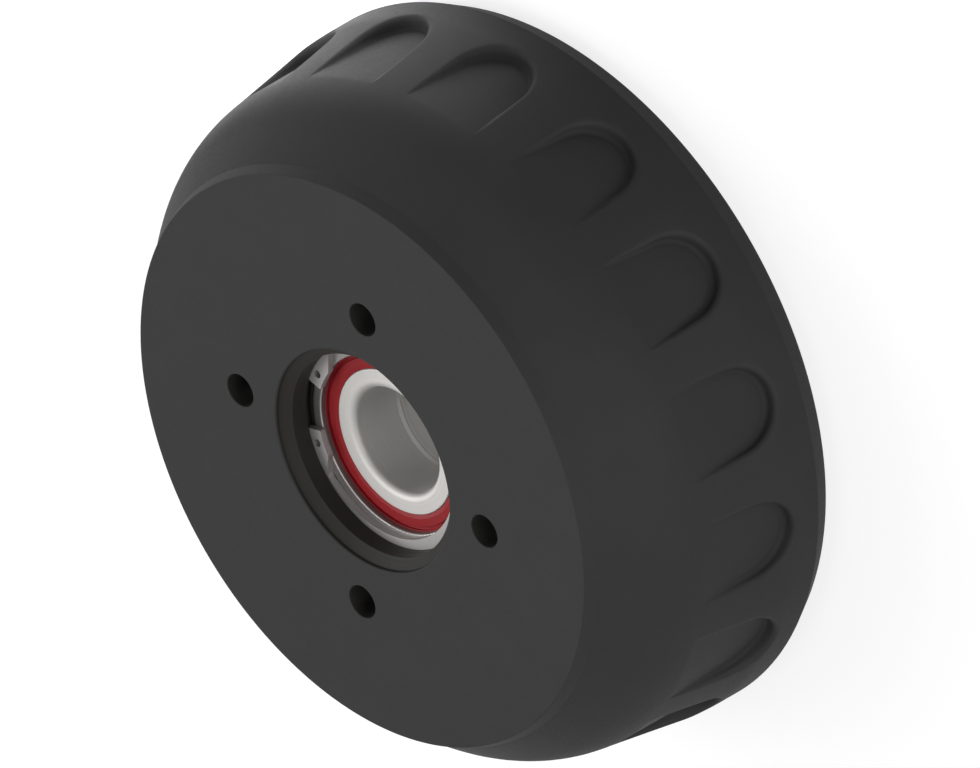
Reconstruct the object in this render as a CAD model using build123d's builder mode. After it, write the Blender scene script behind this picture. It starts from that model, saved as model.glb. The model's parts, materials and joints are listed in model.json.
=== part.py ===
from build123d import *

import os
from math import atan, cos, hypot, radians, tan

# Trailer wheel brake drum with its sealed double-row wheel bearing.
# The drum lies on its open rim with the wheel face on top, and +Z is the axis of rotation.
# Depths are measured down from the wheel face, radii from the axis, all in millimetres.

os.makedirs("parts", exist_ok=True)

# Outside of the casting
drum_depth = 83.1
friction_r = 100.0
barrel_wall = 7.8
rib_height = 4.6
face_inset = 9.0
face_edge_fillet = 0.5
face_foot_step = 1.6
face_foot_depth = 3.9
face_foot_fillet = 0.8
shoulder_angle = 37.0
shoulder_depth = 22.2
shoulder_fillet = 33.0
crest_fillet = 20.0
rim_band_width = 11.6
rim_edge_fillet = 0.5
rim_cone_length = 8.6
rim_cone_angle = 29.5
rim_end_fillet = 4.0

# Pockets between the ribs of the outer wall
pocket_count = 16
pocket_half_width = 13.4
pocket_rim_gap = 10.1
pocket_edge_fillet = 2.0
rib_tip_height = 0.04

# Inside of the casting
web_thickness = 12.0
shoulder_wall = 6.5
web_corner_fillet = 6.0
relief_step = 0.9
relief_width = 2.3
rebate_step = 1.6
rebate_depth = 3.5
rebate_lead_in = 0.5

# Bearing envelope
bearing_bore_r = 17.0
bearing_section = 15.0
bearing_width = 37.0
bearing_shoulder_depth = 50.4
outer_ring_collar = 2.0
outer_ring_corner = 0.8
inner_ring_entry_fillet = 2.2
small_edge_fillet = 0.4

# Hub
boss_wall = 8.5
boss_draft = 2.0
boss_end_lip = 5.0
boss_root_fillet = 2.2
boss_end_fillet = 1.5
axle_opening_clearance = 0.5
axle_opening_chamfer = 0.8
cap_seat_step = 0.4
cap_lead_in = 3.8
face_bore_fillet = 1.2
groove_step = 1.5
groove_play = 0.15
press_clearance = 0.01

# Wheel bolt holes, drilled for an M12 x 1.5 thread
bolt_circle_r = 50.0
bolt_count = 4
bolt_hole_r = 5.25
bolt_hole_chamfer = 0.4

# Ball rows
ball_r = 4.7625
ball_count = 13
pitch_shift = 0.5
row_inset = 9.9
race_clearance = 0.03
inner_land_drop = 1.8
inner_middle_drop = 3.6
outer_land_rise = 3.4
outer_middle_rise = 2.0
cage_clearance = 0.4
cage_rim = 1.14
cage_pocket_clearance = 0.14

# Clip that holds the two inner ring halves together
clip_half_width = 0.75
clip_web = 0.4
clip_recess = 0.3
clip_hook_height = 0.8
clip_hook_width = 0.35
clip_clearance = 0.05
clip_edge_fillet = 0.25
clip_gap = 2.0
clip_gap_angle = 45.0

# Lip seals
seal_width = 3.2
seal_lip_clearance = 0.05
seal_groove_width = 1.1
seal_groove_depth = 0.8
seal_rim_width = 0.35
seal_slope_height = 0.35
seal_slope_width = 1.2
seal_slope_fillet = 1.0
seal_edge_fillet = 0.15
seal_back_width = 1.2
seal_lip_height = 1.5

# Snap ring
snap_thickness = 2.0
snap_outer_clearance = 0.05
snap_body_width = 3.3
snap_body_offset = 2.2
snap_lug_width = 5.9
snap_lug_half_angle = 45.8
snap_gap_half_angle = 15.4
snap_hole_r = 1.25
snap_hole_inset = 3.2
snap_hole_half_angle = 23.7
snap_lug_fillet = 2.0
snap_corner_fillet = 0.5

# Radii that follow from the sizes above
face_r = friction_r - face_inset
face_foot_r = face_r + face_foot_step
pocket_floor_r = friction_r + barrel_wall
band_r = pocket_floor_r + rib_height
rim_end_r = band_r - rim_cone_length * tan(radians(rim_cone_angle))
band_inner_r = friction_r - pocket_edge_fillet
relief_r = friction_r + relief_step
rebate_r = friction_r + rebate_step
bearing_outer_r = bearing_bore_r + bearing_section
boss_end_r = bearing_outer_r + boss_wall
cap_seat_r = bearing_outer_r + cap_seat_step
groove_r = bearing_outer_r + groove_step
pitch_r = (bearing_bore_r + bearing_outer_r) / 2 + pitch_shift
inner_land_r = pitch_r - inner_land_drop
inner_middle_r = pitch_r - inner_middle_drop
outer_land_r = pitch_r + outer_land_rise
outer_middle_r = pitch_r + outer_middle_rise
axle_opening_r = outer_land_r + axle_opening_clearance

# Depths and heights that follow from the sizes above
rim_edge_depth = drum_depth - rim_cone_length
crest_end_depth = rim_edge_depth - rim_band_width
pocket_end_depth = rim_edge_depth - pocket_rim_gap
barrel_end_depth = drum_depth - rim_cone_length / 2
boss_end_depth = bearing_shoulder_depth + boss_end_lip
bearing_back = drum_depth - bearing_shoulder_depth
bearing_middle = bearing_back + bearing_width / 2
row_offset = bearing_width / 2 - row_inset
inner_ring_top = bearing_back + bearing_width
outer_ring_top = inner_ring_top + outer_ring_collar
snap_top = outer_ring_top + snap_thickness
boss_bottom = drum_depth - boss_end_depth
web_bottom = drum_depth - web_thickness
boss_root_r = boss_end_r + (boss_end_depth - web_thickness) * tan(radians(boss_draft))


def shoulder_radius(depth):
    """Radius of the cone between the wheel face and the outer wall."""
    return face_foot_r + (depth - face_foot_depth) * tan(radians(shoulder_angle))


def crest_radius(depth):
    """Radius of the raised band's sloping outer face at a depth below the wheel face."""
    return band_r - (crest_end_depth - depth) * crest_slope


# Slope of the raised band, and where it rises above the pocket floor
crest_start_r = shoulder_radius(shoulder_depth)
crest_slope = (band_r - crest_start_r) / (crest_end_depth - shoulder_depth)
floor_start_depth = crest_end_depth - rib_height / crest_slope
band_start_depth = floor_start_depth + rib_tip_height / crest_slope
pocket_centre_depth = pocket_end_depth - pocket_half_width
pocket_length = pocket_centre_depth - band_start_depth + pocket_half_width
shoulder_half_turn = (radians(shoulder_angle) - atan(crest_slope)) / 2
shoulder_fillet_room = hypot(floor_start_depth - shoulder_depth, pocket_floor_r - crest_start_r)
shoulder_fillet_used = min(shoulder_fillet, shoulder_fillet_room / tan(shoulder_half_turn))

# Raised band of the outer wall, cut into ribs by the arched pockets, with its edges rounded
with BuildPart() as band:
    with BuildSketch(Plane.XZ):
        with BuildLine():
            FilletPolyline(
                (band_inner_r, drum_depth - band_start_depth),
                (crest_radius(band_start_depth), drum_depth - band_start_depth),
                (band_r, drum_depth - crest_end_depth),
                (band_r, drum_depth - rim_edge_depth),
                (rim_end_r, 0),
                (band_inner_r, 0),
                radius=[0, 0, crest_fillet, rim_edge_fillet, rim_end_fillet, 0],
                close=True,
            )
        make_face()
    revolve(axis=Axis.Z)
    pocket_planes = [
        Plane.YZ.rotated((0, 0, 360 * i / pocket_count)).offset(band_inner_r - pocket_edge_fillet)
        for i in range(pocket_count)
    ]
    with BuildSketch(*pocket_planes):
        with Locations((0, drum_depth - pocket_centre_depth)):
            Circle(pocket_half_width)
            Rectangle(2 * pocket_half_width, pocket_length, align=(Align.CENTER, Align.MIN))
    extrude(amount=band_r - band_inner_r + 2 * pocket_edge_fillet, mode=Mode.SUBTRACT)
    rib_edges = [
        edge
        for edge in band.edges()
        if hypot(edge.center().X, edge.center().Y) > crest_radius(band_start_depth) - pocket_edge_fillet / 2
        and drum_depth - rim_edge_depth < edge.center().Z < drum_depth - band_start_depth - rib_tip_height
        and not (edge.geom_type == GeomType.CIRCLE and abs(edge.tangent_at(0.5).Z) < 1e-6)
    ]
    fillet(rib_edges, pocket_edge_fillet)

# Drum casting
with BuildPart() as brake_drum:
    with BuildSketch(Plane.XZ):
        with BuildLine():
            FilletPolyline(
                (0, drum_depth),
                (face_r, drum_depth),
                (face_foot_r, drum_depth - face_foot_depth),
                (crest_start_r, drum_depth - shoulder_depth),
                (pocket_floor_r, drum_depth - floor_start_depth),
                (pocket_floor_r, drum_depth - barrel_end_depth),
                (0, drum_depth - barrel_end_depth),
                radius=[0, face_edge_fillet, face_foot_fillet, shoulder_fillet_used, 0, 0, 0],
                close=True,
            )
        make_face()
    revolve(axis=Axis.Z)
    add(band.part)

    # Brake shoe space around the hub boss
    inner_corner_r = shoulder_radius(web_thickness) - shoulder_wall / cos(radians(shoulder_angle))
    relief_start_depth = web_thickness + (relief_r - inner_corner_r) / tan(radians(shoulder_angle))
    friction_start_depth = relief_start_depth + relief_width
    with BuildSketch(Plane.XZ):
        with BuildLine():
            FilletPolyline(
                (0, 0),
                (rebate_r, 0),
                (rebate_r, rebate_depth),
                (friction_r + rebate_lead_in, rebate_depth),
                (friction_r, rebate_depth + rebate_lead_in),
                (friction_r, drum_depth - friction_start_depth),
                (relief_r, drum_depth - friction_start_depth),
                (relief_r, drum_depth - relief_start_depth),
                (inner_corner_r, web_bottom),
                (boss_root_r, web_bottom),
                (boss_end_r, boss_bottom),
                (0, boss_bottom),
                radius=[0, 0, 0, 0, 0, 0, 0, 0, web_corner_fillet, boss_root_fillet, boss_end_fillet, 0],
                close=True,
            )
        make_face()
    revolve(axis=Axis.Z, mode=Mode.SUBTRACT)

    # Bore for the bearing, with its snap-ring groove, cap seat and axle opening
    with BuildSketch(Plane.XZ):
        with BuildLine():
            FilletPolyline(
                (0, boss_bottom),
                (axle_opening_r + axle_opening_chamfer, boss_bottom),
                (axle_opening_r, boss_bottom + axle_opening_chamfer),
                (axle_opening_r, bearing_back),
                (bearing_outer_r, bearing_back),
                (bearing_outer_r, outer_ring_top - groove_play),
                (groove_r, outer_ring_top - groove_play),
                (groove_r, snap_top),
                (cap_seat_r, snap_top),
                (cap_seat_r, drum_depth - cap_lead_in),
                (cap_seat_r + cap_lead_in, drum_depth),
                (0, drum_depth),
                radius=0,
                close=True,
            )
        make_face()
    revolve(axis=Axis.Z, mode=Mode.SUBTRACT)

    # Wheel bolt holes
    with BuildSketch(Plane.XY.offset(drum_depth)):
        with PolarLocations(bolt_circle_r, bolt_count):
            Circle(bolt_hole_r)
    extrude(amount=-web_thickness - boss_root_fillet, mode=Mode.SUBTRACT)
    face_edges = brake_drum.edges().filter_by(GeomType.CIRCLE).group_by(Axis.Z)[-1]
    chamfer(face_edges.group_by(SortBy.RADIUS)[0], bolt_hole_chamfer)
    face_edges = brake_drum.edges().filter_by(GeomType.CIRCLE).group_by(Axis.Z)[-1]
    fillet(face_edges.group_by(SortBy.RADIUS)[-2], face_bore_fillet)
brake_drum.part.label = "brake_drum"
export_step(brake_drum.part, "parts/brake_drum.step")

# Snap ring that holds the bearing in the hub, with two lugs for the pliers
snap_body_r = groove_r - snap_body_width
snap_lug_r = groove_r - snap_lug_width
snap_hole_circle_r = groove_r - snap_hole_inset
snap_lug_end = groove_r * cos(radians(snap_lug_half_angle))
with BuildSketch() as snap_opening:
    with Locations((-snap_body_offset, 0)):
        Circle(snap_body_r)
    with Locations((-snap_lug_end, 0)):
        Rectangle(groove_r, 2 * groove_r, align=(Align.MAX, Align.CENTER), mode=Mode.SUBTRACT)
    fillet(snap_opening.vertices(), snap_lug_fillet)
    Circle(snap_lug_r)
    lug_corners = snap_opening.vertices().filter_by(lambda vertex: abs(vertex.X + snap_lug_end) < 1e-3)
    fillet(lug_corners.sort_by(lambda vertex: abs(vertex.Y))[:2], snap_corner_fillet)
with BuildPart() as snap_ring:
    with BuildSketch(Plane.XY.offset(outer_ring_top)):
        Circle(groove_r - snap_outer_clearance)
        add(snap_opening.sketch, mode=Mode.SUBTRACT)
        gap_half_width = 2 * groove_r * tan(radians(snap_gap_half_angle))
        with BuildLine():
            Polyline((0, 0), (-2 * groove_r, gap_half_width), (-2 * groove_r, -gap_half_width), close=True)
        make_face(mode=Mode.SUBTRACT)
        first_hole_angle = 180 - snap_hole_half_angle
        with PolarLocations(snap_hole_circle_r, 2, first_hole_angle, 4 * snap_hole_half_angle):
            Circle(snap_hole_r, mode=Mode.SUBTRACT)
    extrude(amount=snap_thickness)
    gap_edges = snap_ring.edges().filter_by(Axis.Z).filter_by(lambda edge: edge.center().X < -snap_lug_end)
    fillet(gap_edges, snap_corner_fillet)
snap_ring.part.label = "snap_ring"
export_step(snap_ring.part, "parts/snap_ring.step")

# Outer ring of the bearing, with both raceways and a collar up to the snap ring
press_r = bearing_outer_r - press_clearance
with BuildPart() as bearing_outer_ring:
    with BuildSketch(Plane.XZ):
        with BuildLine():
            FilletPolyline(
                (outer_land_r, bearing_back),
                (press_r, bearing_back),
                (press_r, outer_ring_top),
                (outer_land_r, outer_ring_top),
                (outer_land_r, bearing_middle + row_offset),
                (outer_middle_r, bearing_middle + row_offset),
                (outer_middle_r, bearing_middle - row_offset),
                (outer_land_r, bearing_middle - row_offset),
                radius=[
                    small_edge_fillet,
                    outer_ring_corner,
                    outer_ring_corner,
                    small_edge_fillet,
                    0,
                    0,
                    0,
                    0,
                ],
                close=True,
            )
        make_face()
    revolve(axis=Axis.Z)
    with Locations((0, 0, bearing_middle - row_offset), (0, 0, bearing_middle + row_offset)):
        Torus(pitch_r, ball_r + race_clearance, mode=Mode.SUBTRACT)
bearing_outer_ring.part.label = "bearing_outer_ring"
export_step(bearing_outer_ring.part, "parts/bearing_outer_ring.step")

# Sprung clip in the bore, hooked into both inner ring halves at their joint
clip_face_r = bearing_bore_r + clip_recess
clip_hook_r = clip_face_r + clip_hook_height
with BuildPart() as inner_ring_clip:
    with BuildSketch(Plane(origin=(0, 0, bearing_middle), x_dir=(1, 0, 0), z_dir=(0, -1, 0))):
        with BuildLine():
            Polyline(
                (clip_face_r, -clip_half_width),
                (clip_hook_r, -clip_half_width),
                (clip_hook_r, clip_hook_width - clip_half_width),
                (clip_face_r + clip_web, clip_hook_width - clip_half_width),
                (clip_face_r + clip_web, clip_half_width - clip_hook_width),
                (clip_hook_r, clip_half_width - clip_hook_width),
                (clip_hook_r, clip_half_width),
                (clip_face_r, clip_half_width),
                close=True,
            )
        make_face()
    revolve(axis=Axis.Z)
    with BuildSketch(Plane.YZ.rotated((0, 0, clip_gap_angle)).offset(bearing_bore_r)):
        with Locations((0, bearing_middle)):
            Rectangle(clip_gap, 4 * clip_half_width)
    extrude(amount=2 * (clip_hook_r - bearing_bore_r), mode=Mode.SUBTRACT)
inner_ring_clip.part.label = "inner_ring_clip"
export_step(inner_ring_clip.part, "parts/inner_ring_clip.step")

# Both halves of the bearing, drawn outwards from the joint between the inner rings
clip_seat_r = clip_face_r + clip_web + clip_clearance
clip_hook_seat_r = clip_hook_r + clip_clearance
cage_inner_r = inner_land_r + cage_clearance
cage_outer_r = outer_middle_r - cage_clearance
cage_half_width = ball_r + cage_rim
seal_lip_r = inner_land_r + seal_lip_clearance
seal_outer_r = outer_land_r - press_clearance
seal_groove_outer_r = seal_outer_r - seal_rim_width
seal_groove_inner_r = seal_groove_outer_r - seal_groove_width
ring_face = bearing_width / 2
seal_back = ring_face - seal_slope_height - seal_lip_height

for side, direction in (("front", 1), ("rear", -1)):
    half_plane = Plane(origin=(0, 0, bearing_middle), x_dir=(1, 0, 0), z_dir=(0, -direction, 0))
    row_height = bearing_middle + direction * row_offset

    # Inner ring half
    with BuildPart() as inner_ring:
        with BuildSketch(half_plane):
            with BuildLine():
                FilletPolyline(
                    (clip_seat_r, 0),
                    (inner_middle_r, 0),
                    (inner_middle_r, row_offset),
                    (inner_land_r, row_offset),
                    (inner_land_r, ring_face),
                    (bearing_bore_r, ring_face),
                    (bearing_bore_r, clip_half_width + clip_clearance),
                    (clip_hook_seat_r, clip_half_width + clip_clearance),
                    (clip_hook_seat_r, clip_half_width - clip_hook_width - clip_clearance),
                    (clip_seat_r, clip_half_width - clip_hook_width - clip_clearance),
                    radius=[
                        0,
                        small_edge_fillet,
                        0,
                        0,
                        small_edge_fillet,
                        inner_ring_entry_fillet,
                        clip_edge_fillet,
                        0,
                        0,
                        0,
                    ],
                    close=True,
                )
            make_face()
        revolve(axis=Axis.Z)
        with Locations((0, 0, row_height)):
            Torus(pitch_r, ball_r + race_clearance, mode=Mode.SUBTRACT)
    inner_ring.part.label = f"{side}_inner_ring"
    export_step(inner_ring.part, f"parts/{side}_inner_ring.step")

    # Lip seal between the inner and the outer ring
    with BuildPart() as seal:
        with BuildSketch(half_plane):
            with BuildLine():
                FilletPolyline(
                    (seal_lip_r, seal_back),
                    (seal_lip_r, ring_face - seal_slope_height),
                    (seal_lip_r + seal_slope_width, ring_face),
                    (seal_groove_inner_r, ring_face),
                    (seal_groove_inner_r, ring_face - seal_groove_depth),
                    (seal_groove_outer_r, ring_face - seal_groove_depth),
                    (seal_groove_outer_r, ring_face),
                    (seal_outer_r, ring_face),
                    (seal_outer_r, ring_face - seal_width),
                    (seal_outer_r - seal_back_width, ring_face - seal_width),
                    (seal_outer_r - seal_back_width, seal_back),
                    radius=[
                        0,
                        seal_edge_fillet,
                        seal_slope_fillet,
                        seal_edge_fillet,
                        seal_edge_fillet,
                        seal_edge_fillet,
                        0,
                        0,
                        small_edge_fillet,
                        0,
                        0,
                    ],
                    close=True,
                )
            make_face()
        revolve(axis=Axis.Z)
    seal.part.label = f"{side}_seal"
    export_step(seal.part, f"parts/{side}_seal.step")

    # Cage with a round pocket for each ball
    cage_planes = [
        Plane.YZ.rotated((0, 0, 360 * i / ball_count)).offset(bearing_bore_r) for i in range(ball_count)
    ]
    with BuildPart() as cage:
        with BuildSketch(Plane.XY.offset(row_height)):
            Circle(cage_outer_r)
            Circle(cage_inner_r, mode=Mode.SUBTRACT)
        extrude(amount=cage_half_width, both=True)
        with BuildSketch(*cage_planes):
            with Locations((0, row_height)):
                Circle(ball_r + cage_pocket_clearance)
        extrude(amount=bearing_outer_r - bearing_bore_r, mode=Mode.SUBTRACT)
    cage.part.label = f"{side}_cage"
    export_step(cage.part, f"parts/{side}_cage.step")

    # Balls of the row
    for number in range(1, ball_count + 1):
        with BuildPart() as ball:
            with Locations((0, 0, row_height)):
                with PolarLocations(pitch_r, 1, start_angle=360 * (number - 1) / ball_count):
                    Sphere(ball_r)
        ball.part.label = f"{side}_ball_{number:02d}"
        export_step(ball.part, f"parts/{side}_ball_{number:02d}.step")
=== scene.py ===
import json
from math import acos, atan, atan2, cos, pi, radians, sin, sqrt, tan

import bmesh
import bpy
from mathutils import Matrix, Vector
from mathutils.geometry import tessellate_polygon

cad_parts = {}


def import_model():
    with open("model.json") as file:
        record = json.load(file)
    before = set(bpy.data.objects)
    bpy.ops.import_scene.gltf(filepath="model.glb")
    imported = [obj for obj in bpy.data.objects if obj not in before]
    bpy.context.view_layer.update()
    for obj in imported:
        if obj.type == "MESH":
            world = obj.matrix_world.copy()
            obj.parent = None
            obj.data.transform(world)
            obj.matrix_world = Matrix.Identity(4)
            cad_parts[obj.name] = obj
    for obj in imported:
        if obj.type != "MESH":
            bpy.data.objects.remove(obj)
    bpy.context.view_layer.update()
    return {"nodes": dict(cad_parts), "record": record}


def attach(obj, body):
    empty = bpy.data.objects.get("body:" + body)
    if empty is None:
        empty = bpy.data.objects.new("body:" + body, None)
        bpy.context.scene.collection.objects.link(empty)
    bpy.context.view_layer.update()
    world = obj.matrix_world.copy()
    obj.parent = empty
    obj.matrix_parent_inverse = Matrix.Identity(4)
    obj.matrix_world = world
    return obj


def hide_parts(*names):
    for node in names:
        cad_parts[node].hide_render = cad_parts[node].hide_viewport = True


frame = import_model()

# Metres in one millimetre
MM = 0.001

# Sizes of the casting in millimetres, as depths below the wheel face and radii from the axis
DRUM_DEPTH = 83.1
FRICTION_R = 100.0
FACE_R = 91.0
FACE_EDGE_FILLET = 0.5
FACE_FOOT_R = 92.6
FACE_FOOT_DEPTH = 3.9
FACE_FOOT_FILLET = 0.8
SHOULDER_ANGLE = radians(37.0)
SHOULDER_DEPTH = 22.2
SHOULDER_FILLET = 33.0
FLOOR_R = 107.8
BAND_R = 112.4
CREST_FILLET = 20.0
CREST_END_DEPTH = 62.9
RIM_EDGE_DEPTH = 74.5
RIM_EDGE_FILLET = 0.5
RIM_CONE_ANGLE = radians(29.5)
RIM_END_FILLET = 4.0
RIM_TURNED_WIDTH = 1.5
WEB_DEPTH = 12.0
SHOULDER_WALL = 6.5
WEB_CORNER_FILLET = 6.0
RELIEF_R = 100.9
RELIEF_WIDTH = 2.3
REBATE_R = 101.6
REBATE_DEPTH = 3.5
REBATE_LEAD_IN = 0.5

# Pockets of the outer wall
POCKETS = 16
POCKET_HALF_WIDTH = 13.4
POCKET_END_DEPTH = 64.4
POCKET_MOUTH_FLARE = 0.6
POCKET_ARM_INSET = 0.7
POCKET_END_FLARE = 0.5
POCKET_FOOT_FILLET = 1.6
POCKET_EDGE_FILLET = 1.7
POCKET_FIELD_END_DEPTH = 70.0

# Hub and bolt holes
BOSS_END_R = 40.5
BOSS_END_DEPTH = 55.4
BOSS_DRAFT = radians(2.0)
BOSS_ROOT_FILLET = 2.2
BOSS_END_FILLET = 1.5
OPENING_R = 28.9
OPENING_CHAMFER = 0.8
BEARING_R = 32.0
BEARING_BACK_DEPTH = 50.4
GROOVE_R = 33.5
GROOVE_BACK_DEPTH = 11.55
GROOVE_FRONT_DEPTH = 9.4
CAP_SEAT_R = 32.4
CAP_LEAD_IN = 3.8
MOUTH_R = 35.5
MOUTH_STEP = 1.3
MOUTH_STEP_FILLET = 0.3
MOUTH_FILLET = 0.6
# Radius inside which the hub takes the bore's painted shade, ending on the mouth's rounded edge
SHADED_BORE_END_R = MOUTH_R + 0.1
BOLT_CIRCLE_R = 50.0
BOLT_COUNT = 4
BOLT_HOLE_R = 5.25
BOLT_HOLE_CHAMFER = 0.2

# Fineness of the casting's mesh
INSIDE_SEGMENTS = 256
HUB_SEGMENTS = 192
BOLT_HOLE_SEGMENTS = 64

# Angle between two faces from which their edge looks sharp
SHARP_ANGLE = radians(30)

# Distances in metres within which points of the mesh count as one or as level, and the least divisor
WELD = 1e-4 * MM
WALL_WELD = 2e-3 * MM
LEVEL = 1e-3 * MM
TINY = 1e-9

# Noise texture: the range that holds most of its values
NOISE_LOW = 0.3
NOISE_HIGH = 0.7

# Mix node: its colour sockets, which share their names with those of its other types
MIX_FIRST = 6
MIX_SECOND = 7
MIX_RESULT = 2

# Camera in metres, which looks down the diagonal of the axes with parallel rays
VIEW_WIDTH = 0.2839
VIEW_RIGHT = 0.03702
VIEW_UP = 0.02231
VIEW_DISTANCE = 1.0

# Studio in metres, and its levels
FLOOR_SIZE = 6.0
FLOOR_GAP = 0.0001
FLOOR_COLOUR = 0.3
FLOOR_GLOW = 0.8
FLOOR_SHADOW = 0.25
WORLD_FILL = 0.2
WORLD_SEEN = 1.0
LIGHT_SIZE = 1.0
LIGHT_DISTANCE = 1.4
BOUNCE_R = 0.17
BOUNCE_HEIGHT = 0.05
BOUNCE_ANGLE = radians(135)
BOUNCE_SPREAD = radians(50)


def fillet_arc(before, corner, after, radius, step):
    """Points of the arc that rounds one corner of an outline."""
    a = (before - corner).normalized()
    b = (after - corner).normalized()
    turn = pi - a.angle(b)
    start = corner + a * (radius * tan(turn / 2))
    centre = corner + (a + b).normalized() * (radius / cos(turn / 2))
    count = max(2, round(turn / step))
    side = 1 if a.x * b.y - a.y * b.x < 0 else -1
    arm = start - centre
    arc = []
    for i in range(count + 1):
        angle = side * turn * i / count
        across = arm.x * cos(angle) - arm.y * sin(angle)
        along = arm.x * sin(angle) + arm.y * cos(angle)
        arc.append(centre + Vector((across, along)))
    return arc


def rounded(corners, step=radians(7.5)):
    """Points of an open outline. A corner is a radius, a depth and, where it is round, a fillet."""
    points = [Vector(corner[:2]) for corner in corners]
    line = [points[0]]
    for before, point, after, corner in zip(points, points[1:], points[2:], corners[1:]):
        if len(corner) == 3:
            line += fillet_arc(before, point, after, corner[2], step)
        else:
            line.append(point)
    line.append(points[-1])
    return [(p.x, p.y) for p in line]


def place(radius, angle, depth):
    """A point in metres from its radius, angle and depth in millimetres."""
    return Vector((radius * cos(angle), radius * sin(angle), DRUM_DEPTH - depth)) * MM


def angle_of(vertex):
    """Angle of a vertex round the axis."""
    return atan2(vertex.co.y, vertex.co.x)


def even_angles(count):
    """Angles that split a full turn evenly."""
    return [2 * pi * i / count for i in range(count)]


# Finishes of the casting, in the order of its material slots
COATED = 0
TURNED = 1
# Painted shade: the bore and bolt holes take a finish darker than the coat
SHADED_BORE = 2


class Skin:
    """Vertices and faces of one mesh, collected ring by ring."""

    def __init__(self):
        self.mesh = bmesh.new()

    def ring(self, radius, depth, angles, centre):
        """A closed ring of vertices around a centre, which is given in millimetres."""
        shift = Vector((*centre, 0)) * MM
        return [self.mesh.verts.new(place(radius, a, depth) + shift) for a in angles]

    def bridge(self, upper, lower, finish):
        """Quads between two closed rings with the same number of vertices."""
        count = len(upper)
        for i in range(count):
            j = (i + 1) % count
            face = self.mesh.faces.new((upper[i], lower[i], lower[j], upper[j]))
            face.material_index = finish

    def lathe(
        self, outline, angles, first=None, last=None, centre=(0.0, 0.0), finish=lambda radius, depth: COATED
    ):
        """Rings along an outline of radius and depth pairs, between rings that exist or new ones."""
        rings = []
        for i, (radius, depth) in enumerate(outline):
            if i == 0 and first:
                rings.append(first)
            elif i == len(outline) - 1 and last:
                rings.append(last)
            else:
                rings.append(self.ring(radius, depth, angles, centre))
        for upper, lower, start, end in zip(rings, rings[1:], outline, outline[1:]):
            self.bridge(upper, lower, finish((start[0] + end[0]) / 2, (start[1] + end[1]) / 2))
        return rings[0], rings[-1]

    def plate(self, loops, finish=COATED):
        """Triangles over a flat face between its outer loop and its holes."""
        flat = [v for loop in loops for v in loop]
        for triangle in tessellate_polygon([[v.co / MM for v in loop] for loop in loops]):
            face = self.mesh.faces.new([flat[i] for i in triangle])
            face.material_index = finish

    def weld(self, distance):
        """Joins the vertices that lie within a distance, and drops what that leaves without an area."""
        bmesh.ops.remove_doubles(self.mesh, verts=self.mesh.verts, dist=distance)
        bmesh.ops.dissolve_degenerate(self.mesh, dist=distance, edges=self.mesh.edges)

    def open_end(self, depth):
        """The vertices on the skin's open edge at a depth, in order round the axis."""
        height = (DRUM_DEPTH - depth) * MM
        level = [v for v in self.mesh.verts if abs(v.co.z - height) < LEVEL]
        edge = [v for v in level if any(e.is_boundary for e in v.link_edges)]
        return sorted(edge, key=lambda v: angle_of(v) % (2 * pi))

    def to_object(self, name):
        """The mesh as an object, welded, facing outwards and smooth up to the sharp angle."""
        self.weld(WELD)
        bmesh.ops.recalc_face_normals(self.mesh, faces=self.mesh.faces)
        data = bpy.data.meshes.new(name)
        self.mesh.to_mesh(data)
        self.mesh.free()
        data.shade_smooth()
        data.set_sharp_from_angle(angle=SHARP_ANGLE)
        piece = bpy.data.objects.new(name, data)
        bpy.context.scene.collection.objects.link(piece)
        return piece


# Outer wall with its ribs and pockets

CREST_START_R = FACE_FOOT_R + (SHOULDER_DEPTH - FACE_FOOT_DEPTH) * tan(SHOULDER_ANGLE)
CREST_SLOPE = (BAND_R - CREST_START_R) / (CREST_END_DEPTH - SHOULDER_DEPTH)
CREST_REACH = CREST_FILLET * tan(atan(CREST_SLOPE) / 2)
CREST_ARC_START = CREST_END_DEPTH - CREST_REACH * cos(atan(CREST_SLOPE))
CREST_ARC_END = CREST_END_DEPTH + CREST_REACH
FLOOR_START_DEPTH = CREST_END_DEPTH - (BAND_R - FLOOR_R) / CREST_SLOPE
POCKET_CENTRE_DEPTH = POCKET_END_DEPTH - POCKET_HALF_WIDTH
SECTOR_HALF_WIDTH = pi * FLOOR_R / POCKETS


def crest(depth):
    """Radius of the ribs' outer face, a slope that runs over into a cylinder."""
    if depth <= CREST_ARC_START:
        return BAND_R - (CREST_END_DEPTH - depth) * CREST_SLOPE
    if depth >= CREST_ARC_END:
        return BAND_R
    return BAND_R - CREST_FILLET + sqrt(CREST_FILLET**2 - (CREST_ARC_END - depth) ** 2)


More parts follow.
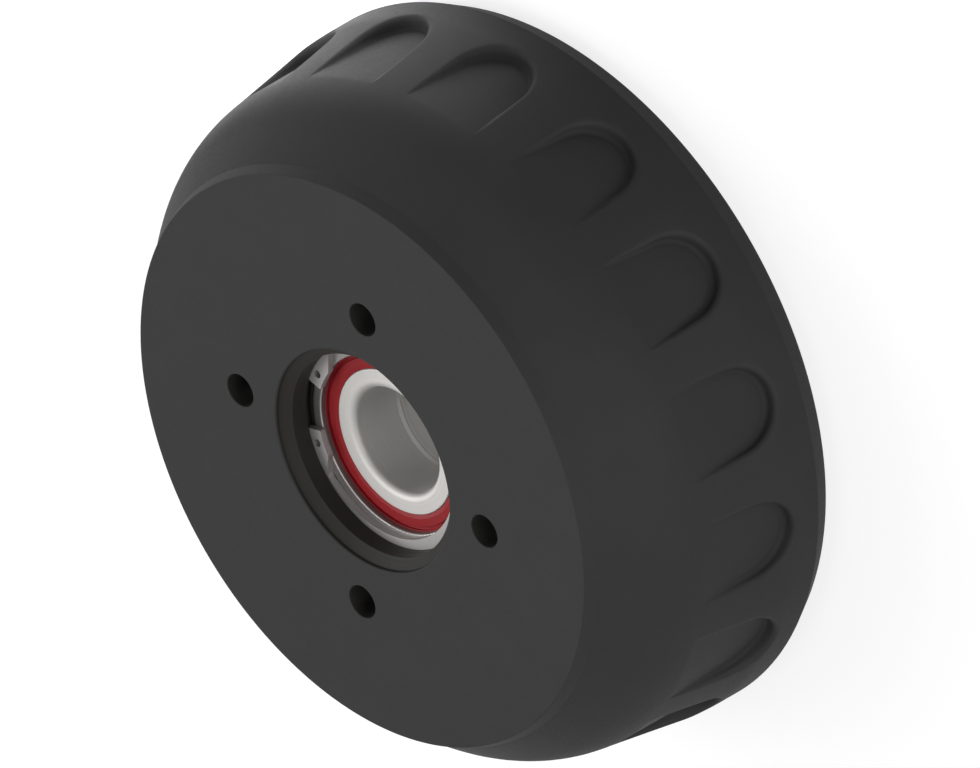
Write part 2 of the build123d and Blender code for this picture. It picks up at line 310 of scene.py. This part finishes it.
def pocket_fan(arm_steps=14, arm_growth=1.3, corner_steps=11):
    """Places round a pocket's wall: origin, outward direction and length to the sector's edge."""
    arm = POCKET_CENTRE_DEPTH - FLOOR_START_DEPTH
    depths = [FLOOR_START_DEPTH + arm * (i / arm_steps) ** arm_growth for i in range(arm_steps)]
    rib = SECTOR_HALF_WIDTH - POCKET_HALF_WIDTH
    first_arm = [((-POCKET_HALF_WIDTH, depth), (-1.0, 0.0), rib) for depth in depths]
    second_arm = [((POCKET_HALF_WIDTH, depth), (1.0, 0.0), rib) for depth in reversed(depths)]
    field = POCKET_FIELD_END_DEPTH - POCKET_CENTRE_DEPTH
    corner = atan2(field, SECTOR_HALF_WIDTH)
    quarter = [corner * (i / corner_steps) for i in range(corner_steps + 1)]
    quarter += [corner + (pi / 2 - corner) * i / corner_steps for i in range(1, corner_steps + 1)]
    end = []
    for turn in [pi - q for q in quarter] + quarter[-2::-1]:
        out = (cos(turn), sin(turn))
        length = min(SECTOR_HALF_WIDTH / max(abs(out[0]), TINY), field / max(out[1], TINY))
        origin = (POCKET_HALF_WIDTH * out[0], POCKET_CENTRE_DEPTH + POCKET_HALF_WIDTH * out[1])
        end.append((origin, out, length - POCKET_HALF_WIDTH))
    return first_arm + end + second_arm


def wall_shift(origin, out):
    """How far a pocket's wall stands outside its plain U: the arms taper and the end is drawn out."""
    arm = min(1.0, (origin[1] - FLOOR_START_DEPTH) / (POCKET_CENTRE_DEPTH - FLOOR_START_DEPTH))
    along = POCKET_MOUTH_FLARE - (POCKET_MOUTH_FLARE + POCKET_ARM_INSET) * arm
    return along + (POCKET_END_FLARE + POCKET_ARM_INSET) * out[1] ** 2


def pocket_ray(origin, out, length, floor_steps=4, wall_steps=6, rib_steps=5):
    """Points across a pocket's wall, from its floor to the sector's edge, as offset, depth and radius."""
    height = max(0.0, crest(origin[1]) - FLOOR_R)
    lean = acos(max(0.0, 1 - height / (POCKET_FOOT_FILLET + POCKET_EDGE_FILLET)))
    shift = wall_shift(origin, out)
    foot = shift - POCKET_FOOT_FILLET * sin(lean)
    edge = shift + POCKET_EDGE_FILLET * sin(lean)
    bows = [lean * i / wall_steps for i in range(wall_steps + 1)]
    floor_width = POCKET_HALF_WIDTH + foot
    low = [(-POCKET_HALF_WIDTH + floor_width * i / floor_steps, 0.0) for i in range(floor_steps)]
    low += [(foot + POCKET_FOOT_FILLET * sin(bow), POCKET_FOOT_FILLET * (1 - cos(bow))) for bow in bows]
    high = [(edge - POCKET_EDGE_FILLET * sin(bow), POCKET_EDGE_FILLET * (cos(bow) - 1)) for bow in bows]
    high = high[::-1] + [(edge + (length - edge) * i / rib_steps, 0.0) for i in range(1, rib_steps + 1)]
    points = []
    for offset, above_floor in low:
        points.append((origin[0] + out[0] * offset, origin[1] + out[1] * offset, FLOOR_R + above_floor))
    for offset, above_crest in high:
        depth = origin[1] + out[1] * offset
        points.append((origin[0] + out[0] * offset, depth, max(FLOOR_R, crest(depth)) + above_crest))
    return points


def outer_wall(skin):
    """The ribs and pockets. Returns the rings of vertices at the wall's front and rear ends."""
    rays = [pocket_ray(*start) for start in pocket_fan()]
    for middle in even_angles(POCKETS):
        lines = []
        for ray in rays:
            points = [place(radius, middle + across / FLOOR_R, depth) for across, depth, radius in ray]
            lines.append([skin.mesh.verts.new(point) for point in points])
        for left, right in zip(lines, lines[1:]):
            for i in range(len(left) - 1):
                skin.mesh.faces.new((left[i], left[i + 1], right[i + 1], right[i]))
    skin.weld(WALL_WELD)
    return skin.open_end(FLOOR_START_DEPTH), skin.open_end(POCKET_FIELD_END_DEPTH)


# Round surfaces, each with an outline of its own

INNER_CORNER_R = (
    FACE_FOOT_R + (WEB_DEPTH - FACE_FOOT_DEPTH) * tan(SHOULDER_ANGLE) - SHOULDER_WALL / cos(SHOULDER_ANGLE)
)
RELIEF_DEPTH = WEB_DEPTH + (RELIEF_R - INNER_CORNER_R) / tan(SHOULDER_ANGLE)
REBATE_END_DEPTH = DRUM_DEPTH - REBATE_DEPTH
RIM_END_R = BAND_R - (DRUM_DEPTH - RIM_EDGE_DEPTH) * tan(RIM_CONE_ANGLE)
BOSS_ROOT_R = BOSS_END_R + (BOSS_END_DEPTH - WEB_DEPTH) * tan(BOSS_DRAFT)


def face_outline():
    """From the wheel face over its edge and the shoulder to the start of the pockets."""
    return rounded(
        [
            (FACE_R - 2 * FACE_EDGE_FILLET, 0),
            (FACE_R, 0, FACE_EDGE_FILLET),
            (FACE_FOOT_R, FACE_FOOT_DEPTH, FACE_FOOT_FILLET),
            (CREST_START_R, SHOULDER_DEPTH, SHOULDER_FILLET),
            (FLOOR_R, FLOOR_START_DEPTH),
        ],
        step=radians(4),
    )


def rim_outline():
    """From the end of the pockets over the rear rim to its bare edge."""
    return rounded(
        [
            (BAND_R, POCKET_FIELD_END_DEPTH),
            (BAND_R, RIM_EDGE_DEPTH, RIM_EDGE_FILLET),
            (RIM_END_R, DRUM_DEPTH, RIM_END_FILLET),
            (REBATE_R + RIM_TURNED_WIDTH, DRUM_DEPTH),
        ]
    )


def inside_outline():
    """From the rebate in the open rim along the friction surface to the web."""
    return rounded(
        [
            (REBATE_R, DRUM_DEPTH),
            (REBATE_R, REBATE_END_DEPTH),
            (FRICTION_R + REBATE_LEAD_IN, REBATE_END_DEPTH),
            (FRICTION_R, REBATE_END_DEPTH - REBATE_LEAD_IN),
            (FRICTION_R, RELIEF_DEPTH + RELIEF_WIDTH),
            (RELIEF_R, RELIEF_DEPTH + RELIEF_WIDTH),
            (RELIEF_R, RELIEF_DEPTH),
            (INNER_CORNER_R, WEB_DEPTH, WEB_CORNER_FILLET),
            (INNER_CORNER_R - 2 * WEB_CORNER_FILLET, WEB_DEPTH),
        ]
    )


def hub_outline():
    """From the web round the boss and through the bore to the wheel face."""
    return rounded(
        [
            (BOSS_ROOT_R + BOSS_ROOT_FILLET, WEB_DEPTH),
            (BOSS_ROOT_R, WEB_DEPTH, BOSS_ROOT_FILLET),
            (BOSS_END_R, BOSS_END_DEPTH, BOSS_END_FILLET),
            (OPENING_R + OPENING_CHAMFER, BOSS_END_DEPTH),
            (OPENING_R, BOSS_END_DEPTH - OPENING_CHAMFER),
            (OPENING_R, BEARING_BACK_DEPTH),
            (BEARING_R, BEARING_BACK_DEPTH),
            (BEARING_R, GROOVE_BACK_DEPTH),
            (GROOVE_R, GROOVE_BACK_DEPTH),
            (GROOVE_R, GROOVE_FRONT_DEPTH),
            (CAP_SEAT_R, GROOVE_FRONT_DEPTH),
            (CAP_SEAT_R, CAP_LEAD_IN),
            (MOUTH_R, MOUTH_STEP, MOUTH_STEP_FILLET),
            (MOUTH_R, 0, MOUTH_FILLET),
            (MOUTH_R + 2 * MOUTH_FILLET, 0),
        ]
    )


def inside_finish(radius, depth):
    """Finish inside the drum: turned from the rebate to the relief, coated towards the web."""
    return TURNED if depth > RELIEF_DEPTH else COATED


def hub_finish(radius, depth):
    """Finish along the hub: coated boss and mouth edge, a bore darker than the coat as painted shade,
    turned behind the bearing.
    """
    if depth < BOSS_END_DEPTH and radius > SHADED_BORE_END_R:
        return COATED
    if depth < BEARING_BACK_DEPTH:
        return SHADED_BORE
    return TURNED


def bolt_hole(skin, angle):
    """One bolt hole at an angle. Returns its rings in the wheel face and in the web."""
    outline = [
        (BOLT_HOLE_R + BOLT_HOLE_CHAMFER, 0),
        (BOLT_HOLE_R, BOLT_HOLE_CHAMFER),
        (BOLT_HOLE_R, WEB_DEPTH),
    ]
    centre = (BOLT_CIRCLE_R * cos(angle), BOLT_CIRCLE_R * sin(angle))
    angles = even_angles(BOLT_HOLE_SEGMENTS)
    # The hole's wall takes the bore finish with its painted shade
    return skin.lathe(outline, angles, centre=centre, finish=lambda radius, depth: SHADED_BORE)


def drum_casting():
    """The whole casting as one closed skin."""
    skin = Skin()
    front_end, rear_end = outer_wall(skin)
    face_rim, _ = skin.lathe(face_outline(), [angle_of(v) for v in front_end], last=front_end)
    _, rear_rim = skin.lathe(rim_outline(), [angle_of(v) for v in rear_end], first=rear_end)
    rebate_rim, web_rim = skin.lathe(inside_outline(), even_angles(INSIDE_SEGMENTS), finish=inside_finish)
    skin.plate([rear_rim, rebate_rim], TURNED)
    boss_rim, mouth_rim = skin.lathe(hub_outline(), even_angles(HUB_SEGMENTS), finish=hub_finish)
    face_loops = [face_rim, mouth_rim]
    web_loops = [web_rim, boss_rim]
    for angle in even_angles(BOLT_COUNT):
        upper, lower = bolt_hole(skin, angle)
        face_loops.append(upper)
        web_loops.append(lower)
    skin.plate(face_loops)
    skin.plate(web_loops)
    return skin.to_object("drum_casting")


# Materials


def new_material(name, colour, metallic, level):
    """A node material with its flat colour and the values that are the same all over its surface."""
    material = bpy.data.materials.new(name)
    material.use_nodes = True
    shader = material.node_tree.nodes["Principled BSDF"]
    shader.inputs["Base Color"].default_value = (*colour, 1)
    shader.inputs["Metallic"].default_value = metallic
    shader.inputs["Specular IOR Level"].default_value = level
    return material, material.node_tree, shader


def plug(tree, value, socket):
    """Links an output to a socket, or sets the socket to a plain value."""
    if isinstance(value, bpy.types.NodeSocket):
        tree.links.new(value, socket)
    else:
        socket.default_value = value


def math_node(tree, operation, first, second):
    """Result of an operation on two values or outputs."""
    node = tree.nodes.new("ShaderNodeMath")
    node.operation = operation
    plug(tree, first, node.inputs[0])
    plug(tree, second, node.inputs[1])
    return node.outputs["Value"]


def mixed_colour(tree, factor, first, second):
    """Colour between two colours or outputs, led by a factor from 0 to 1."""
    node = tree.nodes.new("ShaderNodeMix")
    node.data_type = "RGBA"
    plug(tree, factor, node.inputs["Factor"])
    plug(tree, first, node.inputs[MIX_FIRST])
    plug(tree, second, node.inputs[MIX_SECOND])
    return node.outputs[MIX_RESULT]


def object_place(tree):
    """Place of each point in the object's own axes."""
    return tree.nodes.new("ShaderNodeTexCoord").outputs["Object"]


def noise(tree, grain, detail=3.0, roughness=0.5):
    """Cloudy noise from 0 to 1 with grains of a size in metres."""
    node = tree.nodes.new("ShaderNodeTexNoise")
    node.inputs["Scale"].default_value = 1 / grain
    node.inputs["Detail"].default_value = detail
    node.inputs["Roughness"].default_value = roughness
    tree.links.new(object_place(tree), node.inputs["Vector"])
    return node.outputs["Fac"]


def lathe_lines(tree, pitch, wander=0.35, detail=4.0, slant=0.8):
    """Fine lines round the axis, as a turning tool or a grinding wheel leaves them."""
    split = tree.nodes.new("ShaderNodeSeparateXYZ")
    tree.links.new(object_place(tree), split.inputs["Vector"])
    squares = [math_node(tree, "MULTIPLY", split.outputs[a], split.outputs[a]) for a in "XY"]
    radius = math_node(tree, "SQRT", math_node(tree, "ADD", *squares), 0.0)
    travel = math_node(tree, "ADD", radius, math_node(tree, "MULTIPLY", split.outputs["Z"], slant))
    uneven = tree.nodes.new("ShaderNodeTexNoise")
    uneven.noise_dimensions = "1D"
    uneven.inputs["Scale"].default_value = wander / pitch
    uneven.inputs["Detail"].default_value = detail
    tree.links.new(travel, uneven.inputs["W"])
    return uneven.outputs["Fac"]


def tint(tree, shader, value, colour, dark, light):
    """Base colour between two shades of a colour, led by a noise."""
    shades = [(*(c * amount for c in colour), 1) for amount in (dark, light)]
    tree.links.new(mixed_colour(tree, value, *shades), shader.inputs["Base Color"])


def paint_corner_shade(tree, shader, reach, amount):
    """Paints shade into the base colour in corners and recesses, darkening its tint up to a reach in
    metres.
    """
    clean = shader.inputs["Base Color"].links[0].from_socket
    corner = tree.nodes.new("ShaderNodeAmbientOcclusion")
    corner.only_local = True
    corner.inputs["Distance"].default_value = reach
    shut = math_node(tree, "SUBTRACT", 1.0, corner.outputs["AO"])
    painted_shade = math_node(tree, "MULTIPLY", shut, amount)
    tree.links.new(mixed_colour(tree, painted_shade, clean, (0, 0, 0, 1)), shader.inputs["Base Color"])


def roughen(tree, shader, value, low, high):
    """Roughness from low to high, led by the middle of a noise's range."""
    node = tree.nodes.new("ShaderNodeMapRange")
    node.inputs["From Min"].default_value = NOISE_LOW
    node.inputs["From Max"].default_value = NOISE_HIGH
    node.inputs["To Min"].default_value = low
    node.inputs["To Max"].default_value = high
    tree.links.new(value, node.inputs["Value"])
    tree.links.new(node.outputs["Result"], shader.inputs["Roughness"])


def relief(tree, shader, layers):
    """Bump from several heights, each with its depth in metres."""
    below = None
    for height, depth in layers:
        bump = tree.nodes.new("ShaderNodeBump")
        bump.inputs["Strength"].default_value = 1.0
        bump.inputs["Distance"].default_value = depth
        tree.links.new(height, bump.inputs["Height"])
        if below:
            tree.links.new(below, bump.inputs["Normal"])
        below = bump.outputs["Normal"]
    tree.links.new(below, shader.inputs["Normal"])


def coated_iron():
    """Dark grey coat over cast iron, even, with a fine orange-peel skin."""
    colour = (0.0325, 0.0325, 0.0328)
    material, tree, shader = new_material("coated_iron", colour, metallic=0.0, level=0.08)
    tint(tree, shader, noise(tree, grain=0.014, detail=4.0), colour, dark=0.93, light=1.07)
    # Painted shade: the coat darkens in corners and recesses
    paint_corner_shade(tree, shader, reach=0.0025, amount=1.3)
    skin = noise(tree, grain=0.0011, roughness=0.6)
    roughen(tree, shader, skin, low=0.60, high=0.70)
    relief(tree, shader, [(noise(tree, grain=0.006, detail=2.0), 0.00004), (skin, 0.00001)])
    return material


def turned_iron():
    """Bare grey iron as the lathe leaves it."""
    colour = (0.30, 0.295, 0.285)
    material, tree, shader = new_material("turned_iron", colour, metallic=0.9, level=0.5)
    clouds = noise(tree, grain=0.004, detail=5.0, roughness=0.65)
    tint(tree, shader, clouds, colour, dark=0.8, light=1.15)
    lines = lathe_lines(tree, pitch=0.00025)
    roughen(tree, shader, lines, low=0.38, high=0.55)
    relief(tree, shader, [(lines, 0.000015), (noise(tree, grain=0.0006, detail=2.0), 0.000006)])
    return material


def shaded_bore_iron():
    """Bored iron with fine lathe lines, coloured darker than the coat as painted shade of the bore and the
    bolt holes.
    """
    # Painted shade: a colour darker than the coat for the recessed bore and bolt holes
    colour = (0.0162, 0.0153, 0.0142)
    material, tree, shader = new_material("shaded_bore_iron", colour, metallic=0.0, level=0.15)
    tint(tree, shader, noise(tree, grain=0.006, detail=4.0), colour, dark=0.9, light=1.1)
    # Painted shade: the corners of the bore and holes darken further
    paint_corner_shade(tree, shader, reach=0.0015, amount=1.8)
    lines = lathe_lines(tree, pitch=0.0003)
    roughen(tree, shader, lines, low=0.5, high=0.62)
    relief(tree, shader, [(lines, 0.000004)])
    return material


def ground_steel(name, colour, roughness, metallic):
    """Bright steel with fine grinding lines round the axis."""
    material, tree, shader = new_material(name, colour, metallic, level=0.5)
    tint(tree, shader, noise(tree, grain=0.008), colour, dark=0.96, light=1.04)
    lines = lathe_lines(tree, pitch=0.0002)
    roughen(tree, shader, lines, low=roughness * 0.93, high=roughness * 1.1)
    relief(tree, shader, [(lines, 0.0000008)])
    return material


def polished_steel():
    """Lapped balls, with only a trace of haze."""
    colour = (0.70, 0.70, 0.69)
    material, tree, shader = new_material("ball_steel", colour, metallic=1.0, level=0.5)
    haze = noise(tree, grain=0.003)
    tint(tree, shader, haze, colour, dark=0.97, light=1.0)
    roughen(tree, shader, haze, low=0.05, high=0.11)
    return material


def spring_steel():
    """Spring strip with a rolled skin, cloudy and satin."""
    colour = (0.40, 0.395, 0.385)
    material, tree, shader = new_material("clip_steel", colour, metallic=1.0, level=0.5)
    skin = noise(tree, grain=0.002, detail=4.0, roughness=0.6)
    tint(tree, shader, skin, colour, dark=0.8, light=1.15)
    roughen(tree, shader, skin, low=0.32, high=0.48)
    relief(tree, shader, [(skin, 0.000006)])
    return material


def seal_rubber():
    """Moulded red rubber, satin, with a faint bloom."""
    colour = (0.25, 0.0075, 0.0115)
    material, tree, shader = new_material("seal_rubber", colour, metallic=0.0, level=0.18)
    tint(tree, shader, noise(tree, grain=0.005), colour, dark=0.9, light=1.08)
    skin = noise(tree, grain=0.0005, detail=2.0)
    roughen(tree, shader, skin, low=0.42, high=0.56)
    relief(tree, shader, [(skin, 0.000008)])
    return material


def cage_plastic():
    """Glass-filled plastic in its natural cream colour."""
    colour = (0.52, 0.46, 0.33)
    material, tree, shader = new_material("cage_plastic", colour, metallic=0.0, level=0.5)
    fibres = noise(tree, grain=0.0008, detail=5.0, roughness=0.7)
    tint(tree, shader, fibres, colour, dark=0.82, light=1.08)
    roughen(tree, shader, fibres, low=0.4, high=0.6)
    relief(tree, shader, [(fibres, 0.00001)])
    return material


def dress(node, material):
    """Gives a CAD node its finish."""
    data = frame["nodes"][node].data
    data.materials.clear()
    data.materials.append(material)
    data.set_sharp_from_angle(angle=SHARP_ANGLE)


# Pieces

casting = drum_casting()
for material in (coated_iron(), turned_iron(), shaded_bore_iron()):
    casting.data.materials.append(material)
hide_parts("brake_drum")
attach(casting, "drum")

finishes = {
    "snap_ring_steel": ground_steel("snap_ring_steel", (0.30, 0.292, 0.285), roughness=0.58, metallic=0.9),
    "bearing_steel": ground_steel("bearing_steel", (0.435, 0.424, 0.410), roughness=0.66, metallic=0.95),
    "ball_steel": polished_steel(),
    "clip_steel": spring_steel(),
    "seal_rubber": seal_rubber(),
    "cage_plastic": cage_plastic(),
}
# Painted shade: the outer ring takes a darker copy of the bearing steel, which dims its reflections
shaded_outer_ring_steel = ground_steel("shaded_outer_ring_steel", (0.26, 0.248, 0.242), roughness=0.42, metallic=0.95)
for part in frame["record"]["subparts"]:
    if part["node"] == "bearing_outer_ring":
        dress(part["node"], shaded_outer_ring_steel)
    elif part["material_slot"] in finishes:
        dress(part["node"], finishes[part["material_slot"]])


# Camera, floor and light


def camera():
    """Parallel view down the diagonal, turned so that the photograph's upright is upright."""
    towards = Vector((1, 1, 1)).normalized()
    right = Vector((1, 0, -1)).normalized()
    up = towards.cross(right)
    data = bpy.data.cameras.new("camera")
    data.type = "ORTHO"
    data.ortho_scale = VIEW_WIDTH
    eye = bpy.data.objects.new("camera", data)
    target = Vector((0, 0, DRUM_DEPTH * MM)) + right * VIEW_RIGHT + up * VIEW_UP
    turn = Matrix((right, up, towards)).transposed().to_4x4()
    eye.matrix_world = Matrix.Translation(target + towards * VIEW_DISTANCE) @ turn
    bpy.context.scene.collection.objects.link(eye)
    bpy.context.scene.camera = eye


def seen_directly(tree):
    """1 for camera, glossy and transmitted rays, 0 for all others."""
    path = tree.nodes.new("ShaderNodeLightPath").outputs
    seen = math_node(tree, "MAXIMUM", path["Is Camera Ray"], path["Is Glossy Ray"])
    return math_node(tree, "MAXIMUM", seen, path["Is Transmission Ray"])


def mixed_shader(tree, factor, first, second):
    """The first of two shaders where the factor is 0, and the second where it is 1."""
    node = tree.nodes.new("ShaderNodeMixShader")
    for socket, value in zip(node.inputs, (factor, first, second)):
        tree.links.new(value, socket)
    return node.outputs["Shader"]


def diffuse(tree, level):
    """A matt grey shader."""
    node = tree.nodes.new("ShaderNodeBsdfDiffuse")
    node.inputs["Color"].default_value = (level, level, level, 1)
    return node.outputs["BSDF"]


def floor():
    """Pale floor that is white to the eye and keeps a soft shadow."""
    bpy.ops.mesh.primitive_plane_add(size=FLOOR_SIZE, location=(0, 0, -FLOOR_GAP))
    ground = bpy.context.object
    ground.name = "floor"
    material = bpy.data.materials.new("floor")
    material.use_nodes = True
    tree = material.node_tree
    glow = tree.nodes.new("ShaderNodeEmission")
    glow.inputs["Strength"].default_value = FLOOR_GLOW
    added = tree.nodes.new("ShaderNodeAddShader")
    tree.links.new(glow.outputs["Emission"], added.inputs[0])
    tree.links.new(diffuse(tree, FLOOR_SHADOW), added.inputs[1])
    surface = mixed_shader(tree, seen_directly(tree), diffuse(tree, FLOOR_COLOUR), added.outputs["Shader"])
    tree.links.new(surface, tree.nodes["Material Output"].inputs["Surface"])
    ground.data.materials.append(material)


def world():
    """White all round to the eye and in reflections, and a weak fill light."""
    sky = bpy.data.worlds.new("studio")
    sky.use_nodes = True
    tree = sky.node_tree
    backgrounds = []
    for strength in (WORLD_FILL, WORLD_SEEN):
        background = tree.nodes.new("ShaderNodeBackground")
        background.inputs["Color"].default_value = (1, 1, 1, 1)
        background.inputs["Strength"].default_value = strength
        backgrounds.append(background.outputs["Background"])
    surface = mixed_shader(tree, seen_directly(tree), *backgrounds)
    tree.links.new(surface, tree.nodes["World Output"].inputs["Surface"])
    bpy.context.scene.world = sky


def panel(name, power, width, length):
    """A rectangular light that still has to be placed."""
    data = bpy.data.lights.new(name, "AREA")
    data.shape = "RECTANGLE"
    data.size = width
    data.size_y = length
    data.energy = power
    lamp = bpy.data.objects.new(name, data)
    bpy.context.scene.collection.objects.link(lamp)
    return lamp


def soft_light(name, towards, power):
    """A square soft box that looks at the middle of the drum from a direction."""
    direction = Vector(towards).normalized()
    middle = Vector((0, 0, DRUM_DEPTH * MM / 2))
    turn = direction.to_track_quat("Z", "Y").to_matrix().to_4x4()
    lamp = panel(name, power, LIGHT_SIZE, LIGHT_SIZE)
    lamp.matrix_world = Matrix.Translation(middle + direction * LIGHT_DISTANCE) @ turn


def bounce_light(power, width, length):
    """Lights the floor beside the drum, which sends the light up under the rim."""
    lamp = panel("bounce", power, width, length)
    lamp.data.spread = BOUNCE_SPREAD
    beside = Vector((BOUNCE_R * cos(BOUNCE_ANGLE), BOUNCE_R * sin(BOUNCE_ANGLE), BOUNCE_HEIGHT))
    lamp.matrix_world = Matrix.Translation(beside) @ Matrix.Rotation(BOUNCE_ANGLE, 4, "Z")


camera()
floor()
world()
soft_light("key", (-1, 0, 1), power=14.4)
soft_light("top", (0, 0, 1), power=4.5)
soft_light("side", (1, 0.2, 0.28), power=14.0)
bounce_light(power=1.05, width=0.1, length=0.25)
bpy.context.scene.view_settings.view_transform = "Standard"
